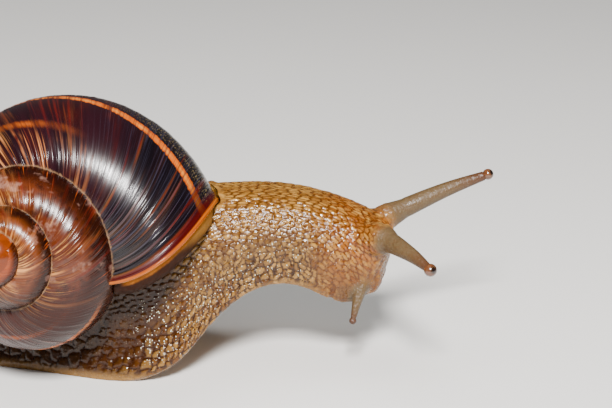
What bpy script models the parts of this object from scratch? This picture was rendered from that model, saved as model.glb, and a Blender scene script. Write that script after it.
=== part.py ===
"""A life-size museum model of a large banded Helix snail, crawling with its front raised.

Metres, +Z up. The snail looks along +X and carries its shell on the right, towards -Y.
The origin is on the flat sole, below the middle of the shell.
"""

import math

import bmesh
import bpy
from mathutils import Matrix, Vector

MM = 0.001
GAP = 0.3 * MM  # between pieces that touch
END_GAP = 0.39 * MM  # at the spire's end, whose twisted face needs a little more

# The coil: every whorl is the one before it, turned and scaled about the apex.
APEX = Vector((-8.2, -23.1, 24.3)) * MM
SHELL_AXIS = Vector((-0.370, -0.904, 0.214)).normalized()  # from the base to the apex
MOUTH_SIDE = Vector((0.872, -0.417, -0.255)).normalized()  # where the coil ends
WHORL_GROWTH = 1.797  # how much a whorl grows in one turn
COIL_RADIUS = 11.9 * MM  # axis to the middle of the tube, at the mouth
COIL_DROP = 25.7 * MM  # apex to the middle of the tube, along the axis, at the mouth
TUBE_HALF_WIDTH = 12.3 * MM
TUBE_HALF_HEIGHT = 12.75 * MM
TUBE_TILT = math.radians(5.6)
AXIS_CLEARANCE = 0.8 * MM  # the tube keeps this far off the axis
LAST_DESCENT = 0.6 * MM  # how much the last quarter turn drops towards the foot
LIP_SLANT = math.radians(28.1)  # the mouth's edge leans back by this along the coil
LIP_SLANT_FROM = math.radians(64.0)
LIP_SLANT_ZERO = math.radians(75.7)  # here the mouth's edge lies at its own turn
COLUMELLA_RADIUS = 1.25 * MM  # the pillar that the upper whorls wind round
DOME_SIZE = 1.42  # the apex dome's radius, as a share of the first whorl's
DOME_OFFSET = 0.3  # how far the dome lies off the axis, as a share of the first whorl's way

# Turns along the coil, counted back from the mouth's edge at 0
APEX_TURN = -3.0
SPIRE_TURN = -0.8
LIP_TURN = -0.0085
COLLAR_TURN = 0.024
STRETCH = 0.6  # the longest stretch made in one piece, short of meeting itself

LIP_RISE = 0.25 * MM  # how far the thickened lip stands out of the whorl
LIP_THICKNESS = 0.95 * MM
# The collar's rings: share of the way out, and how far it is drawn in, in millimetres
COLLAR_PROFILE = ((0.0, 0.0), (0.45, 0.0), (0.8, 0.5), (1.0, 1.4))
RING_SIDES = 28
SPIRE_SIDES = 20
STEPS_PER_TURN = 44

# The body: each station joins a point of the sole's middle to a point of the back.
# (sole x, sole z, back x, back z, middle y, turn in degrees, foot half width,
#  body half width), all lengths in millimetres
BODY_STATIONS = (
    (-34.0, 0.0, -34.2, 0.9, 6.6, -6, 0.7, 0.4),
    (-31.0, 0.0, -31.0, 2.0, 6.3, -6, 2.2, 1.4),
    (-26.0, 0.0, -26.0, 3.6, 5.8, -6, 4.2, 3.0),
    (-19.0, 0.0, -19.0, 5.4, 5.0, -7, 6.2, 4.8),
    (-11.0, 0.0, -11.0, 8.6, 3.9, -9, 7.8, 6.4),
    (-4.0, 0.0, -4.0, 13.5, 2.9, -12, 8.5, 7.5),
    (1.5, 0.0, 1.0, 19.0, 1.6, -13, 9.0, 7.5),
    (6.0, 0.0, 5.2, 23.0, 0.7, -9, 9.7, 7.9),
    (10.0, 0.0, 9.0, 25.0, 0.1, -4, 10.1, 8.1),
    (14.0, 0.6, 13.0, 26.2, -0.2, 0, 10.2, 8.2),
    (17.6, 3.0, 16.8, 26.7, -0.2, 0, 9.9, 8.2),
    (20.2, 6.4, 20.0, 26.7, -0.1, 0, 9.3, 8.0),
    (23.0, 9.8, 23.2, 26.4, 0.0, 0, 8.6, 7.9),
    (26.5, 12.6, 27.0, 26.6, 0.0, 0, 7.8, 7.4),
    (30.5, 13.9, 31.0, 26.5, -0.1, -3, 7.2, 7.2),
    (34.5, 13.7, 35.2, 25.9, -0.3, -7, 6.8, 7.0),
    (38.0, 12.0, 39.4, 24.8, -0.8, -11, 6.2, 6.7),
    (41.4, 10.2, 43.2, 23.4, -1.4, -14, 5.4, 6.2),
    (44.2, 10.8, 46.2, 21.9, -2.1, -15, 3.8, 5.2),
    (46.2, 13.6, 47.6, 20.0, -2.6, -15, 1.8, 3.2),
)
FLOOR = 0.0
SOLE_DEPTH = 1.2 * MM  # the cage of a flat station hangs this far below the floor

# The half section of a station, from the sole's middle up to the back's middle:
# (share of the foot half width, share of the body half width, share of the height)
HALF_SECTION = (
    (0.0, 0.0, 0.0),
    (0.55, 0.0, 0.0),
    (0.97, 0.0, 0.0),
    (1.04, 0.0, 0.05),
    (0.6, 0.42, 0.13),
    (0.15, 0.85, 0.28),
    (0.0, 1.0, 0.52),
    (0.0, 0.87, 0.79),
    (0.0, 0.5, 0.96),
    (0.0, 0.0, 1.0),
)

# The cuts that part the body: a point of each plane in millimetres, and its lean in degrees
TAIL_CUT = ((-12.0, 0.0, 3.0), 0.0)
NECK_CUT = ((21.5, 0.0, 14.0), 4.0)
HEAD_CUT = ((36.5, 0.0, 20.0), 8.0)

# Each tentacle's points in millimetres: deep in the head, where it leaves the head,
# half way and its tip. Then its radii: the flare at the root, the shaft, the waist
# below the knob, and the knob.
UPPER_TENTACLES = {
    "right": (
        ((42.6, -4.2, 19.6), (45.6, -6.4, 20.5), (49.2, -12.0, 20.5), (52.3, -16.9, 19.6)),
        (0.9, 1.55, 0.62, 0.9),
    ),
    "left": (
        ((43.6, -0.6, 20.0), (47.0, 1.1, 21.3), (54.8, 2.9, 24.4), (62.0, 4.0, 26.8)),
        (0.5, 1.5, 0.66, 0.8),
    ),
}
LOWER_TENTACLES = {
    "right": (
        ((43.3, -4.6, 15.6), (42.8, -5.9, 13.4), (42.1, -7.4, 10.9), (41.5, -8.5, 8.4)),
        (0.4, 0.85, 0.4, 0.52),
    ),
    "left": (
        ((44.2, 0.4, 14.6), (44.9, 1.6, 12.4), (45.2, 2.8, 10.9), (45.4, 3.8, 9.6)),
        (0.4, 0.7, 0.36, 0.5),
    ),
}
UPPER_STUB = 2.0 * MM  # how much of a tentacle belongs to the head
LOWER_STUB = 2.0 * MM
FLARE_LENGTH = 1.6 * MM
SHAFT_STEPS = 10
KNOB_STEPS = 6

# Round lobes of the head: centre, then half lengths, in millimetres
HEAD_LOBES = (
    ((43.9, -4.3, 13.9), (2.1, 1.8, 2.5)),
    ((44.6, -0.6, 13.7), (2.0, 1.8, 2.4)),
)
MOUTH = ((44.8, -2.6, 11.3), (2.6, 0.4, 2.3))  # the slit between the lips

SKIN = ("skin", (0.44, 0.27, 0.14), 0.35)
TENTACLE_SKIN = ("tentacle skin", (0.42, 0.30, 0.20), 0.3)
COLLAR_SKIN = ("mantle collar", (0.36, 0.24, 0.12), 0.35)
SPIRE_SHELL = ("spire shell", (0.22, 0.09, 0.04), 0.3)
WHORL_SHELL = ("whorl shell", (0.10, 0.045, 0.035), 0.25)
LIP_SHELL = ("lip shell", (0.50, 0.22, 0.09), 0.35)
EYE_KNOB = ("eye knob", (0.25, 0.15, 0.10), 0.2)


def clear_scene():
    for obj in list(bpy.data.objects):
        bpy.data.objects.remove(obj, do_unlink=True)


def make_material(name, colour, roughness):
    material = bpy.data.materials.new(name)
    material.use_nodes = True
    shader = material.node_tree.nodes["Principled BSDF"]
    shader.inputs["Base Color"].default_value = (*colour, 1.0)
    shader.inputs["Roughness"].default_value = roughness
    shader.inputs["Metallic"].default_value = 0.0
    material.diffuse_color = (*colour, 1.0)
    return material


def dress(objects, material):
    for obj in objects:
        obj.data.materials.clear()
        obj.data.materials.append(material)
        obj.data.shade_smooth()


def link_mesh(name, mesh, collection):
    obj = bpy.data.objects.new(name, mesh)
    collection.objects.link(obj)
    return obj


def link_work(name, work, collection):
    """An object from a bmesh, which is then freed."""
    mesh = bpy.data.meshes.new(name)
    work.to_mesh(mesh)
    work.free()
    return link_mesh(name, mesh, collection)


def loft(name, rings, collection):
    """A closed tube through rings of equal length, with a fan of triangles at each end."""
    sides = len(rings[0])
    work = bmesh.new()
    verts = [[work.verts.new(point) for point in ring] for ring in rings]
    for near, far in zip(verts, verts[1:]):
        for j in range(sides):
            k = (j + 1) % sides
            work.faces.new((near[j], near[k], far[k], far[j]))
    caps = [work.faces.new(verts[0]), work.faces.new(reversed(verts[-1]))]
    bmesh.ops.poke(work, faces=caps)
    bmesh.ops.recalc_face_normals(work, faces=work.faces)
    return link_work(name, work, collection)


def triangulate(obj):
    """Bent quads become triangles, which a Boolean takes exactly."""
    work = bmesh.new()
    work.from_mesh(obj.data)
    bmesh.ops.triangulate(work, faces=work.faces)
    work.to_mesh(obj.data)
    work.free()
    return obj


def apply_modifiers(obj):
    graph = bpy.context.evaluated_depsgraph_get()
    obj.data = bpy.data.meshes.new_from_object(obj.evaluated_get(graph))
    obj.modifiers.clear()
    return obj


def boolean(obj, other, operation, solver="EXACT"):
    """Applies a Boolean with one object, which is then removed."""
    modifier = obj.modifiers.new("boolean", "BOOLEAN")
    modifier.operation = operation
    modifier.solver = solver
    modifier.object = other
    apply_modifiers(obj)
    bpy.data.objects.remove(other, do_unlink=True)
    return obj


def swell(obj, distance):
    """Moves every point out along its normal, which leaves a little less at an edge."""
    for vertex in obj.data.vertices:
        vertex.co += vertex.normal * distance
    return obj


def keep_largest(obj):
    """Keeps the largest closed surface and drops loose scraps and sealed hollows."""
    work = bmesh.new()
    work.from_mesh(obj.data)
    left = set(work.faces)
    surfaces = []
    while left:
        stack = [left.pop()]
        surface = []
        while stack:
            face = stack.pop()
            surface.append(face)
            for edge in face.edges:
                for other in edge.link_faces:
                    if other in left:
                        left.remove(other)
                        stack.append(other)
        surfaces.append(surface)
    surfaces.sort(key=lambda faces: sum(f.calc_area() for f in faces))
    scraps = [f for surface in surfaces[:-1] for f in surface]
    bmesh.ops.delete(work, geom=scraps, context="FACES")
    work.to_mesh(obj.data)
    work.free()
    return obj


def cut(obj, point, normal):
    """Cuts the object with a plane and keeps what lies behind it, with a flat cap."""
    work = bmesh.new()
    work.from_mesh(obj.data)
    geometry = work.verts[:] + work.edges[:] + work.faces[:]
    bmesh.ops.bisect_plane(
        work, geom=geometry, plane_co=point, plane_no=normal, clear_outer=True, dist=1e-7
    )
    rim = [e for e in work.edges if e.is_boundary]
    bmesh.ops.triangle_fill(work, edges=rim, use_beauty=True, use_dissolve=False)
    bmesh.ops.remove_doubles(work, verts=work.verts, dist=1e-7)
    bmesh.ops.recalc_face_normals(work, faces=work.faces)
    work.to_mesh(obj.data)
    work.free()
    return obj


def copy_of(obj, name, collection):
    return link_mesh(name, obj.data.copy(), collection)


def ellipsoid(centre, half_lengths, collection):
    """A round lobe, from its centre and half lengths in millimetres."""
    work = bmesh.new()
    place = Matrix.Translation(Vector(centre) * MM) @ Matrix.Diagonal((*half_lengths, 1.0))
    bmesh.ops.create_uvsphere(work, u_segments=16, v_segments=10, radius=MM, matrix=place)
    return link_work("lobe", work, collection)


def tube_section(sweep, angle, inflate):
    """How far a point of the whorl lies off the axis, and how far below the apex."""
    size = WHORL_GROWTH ** (sweep / (2 * math.pi))
    late = max(0.0, 1 + sweep / (math.pi / 2))
    across = (TUBE_HALF_WIDTH + inflate / size) * math.cos(angle)
    along = (TUBE_HALF_HEIGHT + inflate / size) * math.sin(angle)
    out = COIL_RADIUS + across * math.cos(TUBE_TILT) - along * math.sin(TUBE_TILT)
    down = COIL_DROP - across * math.sin(TUBE_TILT) - along * math.cos(TUBE_TILT)
    down += LAST_DESCENT * late * late
    return max(out * size, AXIS_CLEARANCE - inflate), down * size


def coil_point(turn, angle, inflate=0.0, ahead=0.0):
    """A point of the whorl's surface: turn is 0 at the mouth and negative before it.

    Inflate moves it out of the tube, and ahead moves it on along the coil.
    """
    lean = math.sin(angle - LIP_SLANT_FROM) - math.sin(LIP_SLANT_ZERO - LIP_SLANT_FROM)
    slant = LIP_SLANT * lean
    sweep = 2 * math.pi * turn + slant
    sweep += ahead / tube_section(sweep, angle, inflate)[0]
    radius, drop = tube_section(sweep, angle, inflate)
    side = SHELL_AXIS.cross(MOUTH_SIDE)
    radial = MOUTH_SIDE * math.cos(sweep) - side * math.sin(sweep)
    return APEX + radial * radius - SHELL_AXIS * drop


def coil_ring(turn, sides, inflate=0.0, ahead=0.0):
    angles = [2 * math.pi * j / sides for j in range(sides)]
    return [coil_point(turn, angle, inflate, ahead) for angle in angles]


def coil(name, start, end, sides, collection, inflate=0.0, ahead=0.0):
    """A solid stretch of the coil, from one turn to a little ahead of another.

    Each end face keeps the slant of the mouth for a little more than the lip's thickness.
    """
    steps = max(2, math.ceil((end - start) * STEPS_PER_TURN))
    rings = [coil_ring(start, sides, inflate - 1.5 * LIP_THICKNESS)]
    for i in range(steps + 1):
        way = i / steps
        rings.append(coil_ring(start + (end - start) * way, sides, inflate, ahead * way))
    rings.append(coil_ring(end, sides, inflate - 1.5 * LIP_THICKNESS, ahead))
    return triangulate(loft(name, rings, collection))


def whorls(name, start, end, sides, collection, inflate=0.0, ahead=0.0):
    """A long stretch of the coil as one body, joined from stretches that don't meet."""
    joined = coil(name, max(start, end - STRETCH), end, sides, collection, inflate, ahead)
    upper = end - STRETCH
    while upper > start:
        lower = max(start, upper - STRETCH)
        piece = coil("piece", lower, upper + 0.01, sides, collection, inflate * 0.998)
        boolean(joined, piece, "UNION")
        upper = lower
    return joined


def columella(radius, collection):
    """The pillar on the shell's axis, from near the apex to the base of the spire."""
    top = APEX - SHELL_AXIS * (2.0 * MM)
    drop = (COIL_DROP + 0.6 * TUBE_HALF_HEIGHT) * WHORL_GROWTH**SPIRE_TURN
    base = APEX - SHELL_AXIS * drop
    work = bmesh.new()
    upright = SHELL_AXIS.to_track_quat("Z", "Y").to_matrix().to_4x4()
    bmesh.ops.create_cone(
        work,
        cap_ends=True,
        segments=12,
        radius1=radius,
        radius2=radius,
        depth=(base - top).length,
        matrix=Matrix.Translation((top + base) / 2) @ upright,
    )
    return link_work("columella", work, collection)


def apex_dome(collection):
    """The smooth dome of the young shell, over the start of the first whorl."""
    ring = coil_ring(APEX_TURN, SPIRE_SIDES)
    start = sum(ring, Vector()) / len(ring)
    on_axis = APEX + SHELL_AXIS * (start - APEX).dot(SHELL_AXIS)
    radius = DOME_SIZE * max((p - start).length for p in ring)
    place = Matrix.Translation(on_axis.lerp(start, DOME_OFFSET))
    work = bmesh.new()
    bmesh.ops.create_uvsphere(work, u_segments=24, v_segments=14, radius=radius, matrix=place)
    return link_work("dome", work, collection)


def make_spire(collection):
    """The upper whorls, wound round their pillar and closed by a dome."""
    spire = whorls("shell_spire", APEX_TURN, SPIRE_TURN, SPIRE_SIDES, collection)
    boolean(spire, columella(COLUMELLA_RADIUS, collection), "UNION")
    boolean(spire, apex_dome(collection), "UNION")
    return keep_largest(spire)


def make_body_whorl(collection):
    """The last whorl, up to the lip, with room for the spire that it winds round."""
    start = SPIRE_TURN - 0.02
    whorl = coil("shell_body_whorl", start, LIP_TURN, RING_SIDES, collection, 0.0, -GAP)
    room = whorls("room", APEX_TURN, SPIRE_TURN, SPIRE_SIDES, collection, GAP, END_GAP)
    boolean(room, columella(COLUMELLA_RADIUS + GAP, collection), "UNION")
    boolean(whorl, room, "DIFFERENCE")
    return keep_largest(whorl)


def clear_of_whorls(obj, collection):
    """Cuts away what would reach into the whorl that the mouth stands on."""
    room = whorls("room", SPIRE_TURN - 1.2, SPIRE_TURN + 0.25, SPIRE_SIDES, collection, GAP)
    boolean(room, columella(COLUMELLA_RADIUS + GAP, collection), "UNION")
    boolean(obj, room, "DIFFERENCE")
    return keep_largest(obj)


def make_lip(collection):
    """The thickened edge of the mouth, as far as it stands free of the whorl before."""
    lip = coil("shell_lip", LIP_TURN, 0.0, RING_SIDES, collection, LIP_RISE)
    mouth = LIP_RISE - LIP_THICKNESS
    hole = coil("hole", LIP_TURN - 0.01, 0.01, RING_SIDES, collection, mouth)
    boolean(lip, hole, "DIFFERENCE")
    return clear_of_whorls(lip, collection)


def collar_plug(name, collection):
    """A plug of the mouth's own shape that bulges out of it."""
    side = LIP_RISE - LIP_THICKNESS - GAP
    rings = [coil_ring(LIP_TURN, RING_SIDES, side - LIP_THICKNESS)]
    for way, drawn_in in COLLAR_PROFILE:
        turn = LIP_TURN + (COLLAR_TURN - LIP_TURN) * way
        rings.append(coil_ring(turn, RING_SIDES, side - drawn_in * MM))
    return triangulate(loft(name, rings, collection))


def make_collar(collection):
    """The fleshy collar that fills the mouth, where the mouth is free."""
    return clear_of_whorls(collar_plug("mantle_collar", collection), collection)


def station_ring(station):
    """The cage ring of one body station, as points around the section."""
    sole_x, sole_z, back_x, back_z, middle_y, turn, foot, half = station
    sole = Vector((sole_x, middle_y, sole_z)) * MM
    back = Vector((back_x, middle_y, back_z)) * MM
    angle = math.radians(turn)
    left = Vector((-math.sin(angle), math.cos(angle), 0.0))
    depth = SOLE_DEPTH if sole_z == 0 else 0.0

    def point(row, side):
        foot_share, half_share, rise = row
        reach = (foot_share * foot + half_share * half) * MM
        place = sole.lerp(back, rise) + left * (side * reach)
        if rise == 0:
            place.z -= depth
        return place

    right_side = [point(row, -1) for row in HALF_SECTION]
    left_side = [point(row, 1) for row in HALF_SECTION[-2:0:-1]]
    return right_side + left_side


def make_body(collection):
    """The whole soft body, from the tail's tip to the snout, with its sole cut flat."""
    body = loft("body", [station_ring(s) for s in BODY_STATIONS], collection)
    smooth = body.modifiers.new("smooth", "SUBSURF")
    smooth.levels = 1
    smooth.render_levels = 1
    apply_modifiers(body)
    triangulate(body)
    cut(body, Vector((0, 0, FLOOR)), Vector((0, 0, -1)))
    around = whorls("around", -1.9, 0.0, RING_SIDES, collection, LIP_RISE + GAP, GAP)
    boolean(body, around, "DIFFERENCE", "MANIFOLD")  # EXACT loses the body here
    boolean(body, swell(collar_plug("collar", collection), GAP / 0.8), "DIFFERENCE")
    return keep_largest(body)


def plane_of(where, lean, offset):
    """The point and normal of a parting plane that leans by some degrees, moved forward."""
    angle = math.radians(lean)
    normal = Vector((math.cos(angle), 0.0, -math.sin(angle)))
    return Vector(where) * MM + normal * offset, normal


def stretch(body, name, behind, ahead, collection):
    """The length of the body between two parting planes, with half a gap left at each."""
    length = copy_of(body, name, collection)
    if ahead:
        point, normal = plane_of(*ahead, -GAP / 2)
        cut(length, point, normal)
    if behind:
        point, normal = plane_of(*behind, GAP / 2)
        cut(length, point, -normal)
    return keep_largest(length)


def smooth_path(points, steps):
    """Points of a smooth curve through those given, a few steps for each stretch."""
    ends = [2 * points[0] - points[1], *points, 2 * points[-1] - points[-2]]
    path = []
    for a, b, c, d in zip(ends, ends[1:], ends[2:], ends[3:]):
        for j in range(steps):
            t = j / steps
            bend = (2 * a - 5 * b + 4 * c - d) * t**2 + (3 * b - a - 3 * c + d) * t**3
            path.append(0.5 * (2 * b + (c - a) * t + bend))
    return path + [points[-1]]


def point_along(path, distance):
    """The point of a path at some distance from its start, and the direction there."""
    for a, b in zip(path, path[1:]):
        step = (b - a).length
        if distance <= step or b is path[-1]:
            return a + (b - a) * (distance / step), (b - a) / step
        distance -= step


def make_tentacle(name, points, radii, stub, collection):
    """A whole tentacle, and the places where it leaves the head and where its knob starts."""
    path = smooth_path([Vector(p) * MM for p in points], 8)
    length = sum((b - a).length for a, b in zip(path, path[1:]))
    leave = (path[8] - path[0]).length
    flare, shaft, waist, knob = (r * MM for r in radii)
    knob_start = length - 1.8 * knob
    stations = []
    for i in range(SHAFT_STEPS + 1):
        at = knob_start * i / SHAFT_STEPS
        way = max(0.0, at - leave) / (knob_start - leave)
        out = max(0.0, at - leave) / FLARE_LENGTH
        stations.append((at, shaft + (waist - shaft) * way**1.3 + flare * math.exp(-out * out)))
    for i in range(1, KNOB_STEPS + 1):
        angle = math.radians(140 - 125 * i / KNOB_STEPS)
        stations.append((length - knob + knob * math.cos(angle), knob * math.sin(angle)))
    curve = bpy.data.curves.new(name, "CURVE")
    curve.dimensions = "3D"
    curve.bevel_depth = MM
    curve.bevel_resolution = 3
    curve.use_fill_caps = True
    spline = curve.splines.new("POLY")
    spline.points.add(len(stations) - 1)
    for point, (at, radius) in zip(spline.points, stations):
        point.co = (*point_along(path, at)[0], 1.0)
        point.radius = radius / MM
    guide = bpy.data.objects.new("guide", curve)
    collection.objects.link(guide)
    graph = bpy.context.evaluated_depsgraph_get()
    mesh = bpy.data.meshes.new_from_object(guide.evaluated_get(graph))
    bpy.data.objects.remove(guide, do_unlink=True)
    work = bmesh.new()
    work.from_mesh(mesh)
    bmesh.ops.remove_doubles(work, verts=work.verts, dist=1e-6)
    bmesh.ops.triangulate(work, faces=work.faces)
    bmesh.ops.recalc_face_normals(work, faces=work.faces)
    tentacle = link_work(name, work, collection)
    return tentacle, point_along(path, leave + stub), point_along(path, length - 1.55 * knob)


def part_off(obj, place, name, collection):
    """Cuts an object across at a place, and returns what lies beyond as a new object."""
    point, normal = place
    beyond = copy_of(obj, name, collection)
    cut(beyond, point + normal * (GAP / 2), -normal)
    cut(obj, point - normal * (GAP / 2), normal)
    return beyond


def make_head(body, collection):
    """The head with its lips and tentacle roots, and the tentacles that leave it."""
    head = stretch(body, "head", HEAD_CUT, None, collection)
    for centre, half_lengths in HEAD_LOBES:
        boolean(head, triangulate(ellipsoid(centre, half_lengths, collection)), "UNION")
    boolean(head, triangulate(ellipsoid(*MOUTH, collection)), "DIFFERENCE")
    tentacles = []
    eyes = []
    for side, (points, radii) in UPPER_TENTACLES.items():
        root, leave, knob = make_tentacle("root", points, radii, UPPER_STUB, collection)
        tentacle = part_off(root, leave, f"upper_tentacle_{side}", collection)
        eyes.append(part_off(tentacle, knob, f"eye_{side}", collection))
        tentacles.append(tentacle)
        boolean(head, root, "UNION")
    for side, (points, radii) in LOWER_TENTACLES.items():
        root, leave, _ = make_tentacle("root", points, radii, LOWER_STUB, collection)
        tentacles.append(part_off(root, leave, f"lower_tentacle_{side}", collection))
        boolean(head, root, "UNION")
    return keep_largest(head), tentacles, eyes


def main():
    clear_scene()
    snail = bpy.data.collections.new("snail")
    bpy.context.scene.collection.children.link(snail)

    dress([make_spire(snail)], make_material(*SPIRE_SHELL))
    dress([make_body_whorl(snail)], make_material(*WHORL_SHELL))
    dress([make_lip(snail)], make_material(*LIP_SHELL))
    dress([make_collar(snail)], make_material(*COLLAR_SKIN))

    body = make_body(snail)
    tail = stretch(body, "tail", None, TAIL_CUT, snail)
    foot = stretch(body, "foot", TAIL_CUT, NECK_CUT, snail)
    neck = stretch(body, "neck", NECK_CUT, HEAD_CUT, snail)
    head, tentacles, eyes = make_head(body, snail)
    bpy.data.objects.remove(body, do_unlink=True)
    dress([tail, foot, neck, head], make_material(*SKIN))
    dress(tentacles, make_material(*TENTACLE_SKIN))
    dress(eyes, make_material(*EYE_KNOB))


if __name__ == "__main__":
    main()
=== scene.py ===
# %% [markdown]
# # A banded land snail, life size
#
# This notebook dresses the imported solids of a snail: a wound shell with a pale band, one
# wet skin over head, neck and foot, and four tentacles. It runs from top to bottom in
# Blender, and each cell says what a piece is on the real animal before it is made.

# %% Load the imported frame
import math

import bpy
import numpy as np
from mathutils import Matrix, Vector, kdtree


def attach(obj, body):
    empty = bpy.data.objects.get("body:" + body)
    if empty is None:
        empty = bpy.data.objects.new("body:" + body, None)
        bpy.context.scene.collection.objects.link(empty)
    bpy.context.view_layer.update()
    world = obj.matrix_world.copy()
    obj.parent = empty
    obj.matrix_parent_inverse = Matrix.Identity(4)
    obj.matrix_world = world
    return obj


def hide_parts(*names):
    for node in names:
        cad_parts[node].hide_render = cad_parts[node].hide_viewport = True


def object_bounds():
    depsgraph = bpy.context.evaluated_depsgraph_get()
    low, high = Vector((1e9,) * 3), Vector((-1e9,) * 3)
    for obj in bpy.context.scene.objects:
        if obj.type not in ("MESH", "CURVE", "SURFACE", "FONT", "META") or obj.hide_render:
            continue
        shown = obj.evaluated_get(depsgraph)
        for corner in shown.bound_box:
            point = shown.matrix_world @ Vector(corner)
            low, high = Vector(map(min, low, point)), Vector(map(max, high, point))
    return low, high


MM = 0.001

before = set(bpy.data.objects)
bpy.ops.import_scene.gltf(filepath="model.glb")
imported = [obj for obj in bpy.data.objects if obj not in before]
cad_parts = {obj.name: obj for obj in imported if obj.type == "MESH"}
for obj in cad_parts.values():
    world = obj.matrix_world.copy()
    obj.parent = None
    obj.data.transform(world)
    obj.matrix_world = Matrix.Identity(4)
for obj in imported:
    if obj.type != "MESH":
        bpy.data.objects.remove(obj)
cad_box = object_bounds()
print("solids from", tuple(cad_box[0]), "to", tuple(cad_box[1]))

# %% [markdown]
# ## The camera
#
# The photo was taken with a long lens, a little above the snail's right side. The camera
# looks along +Y and down by 20 degrees, and the shell runs out of the frame at the left.

# %% Place the camera
VIEW_TARGET = Vector((35.0, 0.0, 23.4)) * MM
VIEW_DISTANCE = 260.0 * MM
VIEW_ELEVATION = math.radians(20.0)
FOCAL_PIXELS = 1820.0  # focal length, in pixels of a frame 612 wide
FRAME_WIDTH = 612.0
SENSOR_WIDTH = 36.0  # millimetres

view_back = Vector((0.0, -math.cos(VIEW_ELEVATION), math.sin(VIEW_ELEVATION)))
bpy.ops.object.camera_add(
    location=VIEW_TARGET + view_back * VIEW_DISTANCE,
    rotation=(-view_back).to_track_quat("-Z", "Y").to_euler(),
)
camera = bpy.context.object
camera.name = "camera"
camera.data.sensor_width = SENSOR_WIDTH
camera.data.lens = FOCAL_PIXELS * SENSOR_WIDTH / FRAME_WIDTH
camera.data.clip_start = 0.01
camera.data.clip_end = 20.0
bpy.context.scene.camera = camera
print("lens", round(camera.data.lens, 1), "mm")

# %% [markdown]
# ## The shell's law of growth
#
# A snail adds shell only at the mouth, and the mouth keeps its shape while it grows. So
# every whorl is the one before it, turned and scaled about one point near the apex. Two
# numbers give any place on the shell: the turn, 0 at the mouth and negative before it,
# and the angle round the tube. The sizes are those of the solids.

# %% Winding a point onto the shell
APEX = np.array((-8.2, -23.1, 24.3)) * MM
SHELL_AXIS = np.array(Vector((-0.370, -0.904, 0.214)).normalized())
MOUTH_SIDE = np.array(Vector((0.872, -0.417, -0.255)).normalized())
SHELL_SIDE = np.cross(SHELL_AXIS, MOUTH_SIDE)
WHORL_GROWTH = 1.797
COIL_RADIUS = 11.9 * MM
COIL_DROP = 25.7 * MM
TUBE_HALF_WIDTH = 12.3 * MM
TUBE_HALF_HEIGHT = 12.75 * MM
TUBE_TILT = math.radians(5.6)
AXIS_CLEARANCE = 0.8 * MM
LAST_DESCENT = 0.6 * MM
LIP_SLANT = math.radians(28.1)
LIP_SLANT_FROM = math.radians(64.0)
LIP_SLANT_ZERO = math.radians(75.7)


def wind(turn, angle, inflate=0.0):
    """Places on the shell, from arrays of turns and angles, moved out by inflate."""
    lean = np.sin(angle - LIP_SLANT_FROM) - math.sin(LIP_SLANT_ZERO - LIP_SLANT_FROM)
    sweep = 2 * math.pi * turn + LIP_SLANT * lean
    size = WHORL_GROWTH ** (sweep / (2 * math.pi))
    late = np.maximum(0.0, 1 + sweep / (math.pi / 2))
    across = (TUBE_HALF_WIDTH + inflate / size) * np.cos(angle)
    along = (TUBE_HALF_HEIGHT + inflate / size) * np.sin(angle)
    out = COIL_RADIUS + across * math.cos(TUBE_TILT) - along * math.sin(TUBE_TILT)
    down = COIL_DROP - across * math.sin(TUBE_TILT) - along * math.cos(TUBE_TILT)
    down = (down + LAST_DESCENT * late**2) * size
    radius = np.maximum(out * size, AXIS_CLEARANCE - inflate)
    radial = np.cos(sweep)[:, None] * MOUTH_SIDE - np.sin(sweep)[:, None] * SHELL_SIDE
    return APEX + radial * radius[:, None] - down[:, None] * SHELL_AXIS


print("outermost place of the mouth", wind(np.zeros(1), np.zeros(1))[0] / MM, "mm")

# %% [markdown]
# ## The shell
#
# No operator winds and grows a tube at once, so a flat grid is wound up by the law above.
# Its rows lie round the tube, closer together where the tube is thin, and the last ones
# turn in round the lip.

# %% Rows along the coil
COIL_START = -3.05  # turns
ROWS = 1000
ROW_CROWDING = 0.45  # how far the rows follow the growth, from even turns to even lengths
LIP_ROWS = (  # past the mouth: turn, and how far out of the tube in millimetres
    (0.0003, 0.22),
    (0.0010, 0.10),
    (0.0012, -0.12),
    (0.0006, -0.38),
    (-0.0020, -0.58),
    (-0.0100, -0.68),
    (-0.0300, -0.70),
)
LIP_RISE = 0.25 * MM
LIP_WIDTH = 0.0085  # turns


def soft_step(low, high, value):
    """A smooth change from 0 at low to 1 at high."""
    way = np.clip((value - low) / (high - low), 0.0, 1.0)
    return way * way * (3.0 - 2.0 * way)


ease = math.log(WHORL_GROWTH) * ROW_CROWDING
row_share = np.linspace(math.exp(ease * COIL_START), 1.0, ROWS)
row_turn = np.log(row_share) / ease
row_rise = LIP_RISE * soft_step(-1.6 * LIP_WIDTH, -0.8 * LIP_WIDTH, row_turn)
row_turn = np.append(row_turn, [turn for turn, _ in LIP_ROWS])
row_rise = np.append(row_rise, [rise * MM for _, rise in LIP_ROWS])
print(len(row_turn), "rows round the tube")

# %% [markdown]
# Most of the grid's columns go to the side of the tube that stands free, where ridges are
# seen, and few to the side that lies against the whorl before it.

# %% The flat grid
COLUMNS = 96
SEEN_FROM = math.radians(-160.0)  # the arc of the tube that stands free
SEEN_TO = math.radians(90.0)
SEEN_SHARE = 0.88  # of the columns


def points_of(obj, kind="co"):
    """The mesh's points, or their normals, as rows of x, y and z."""
    numbers = np.zeros(len(obj.data.vertices) * 3)
    obj.data.vertices.foreach_get(kind, numbers)
    return numbers.reshape(-1, 3)


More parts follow.
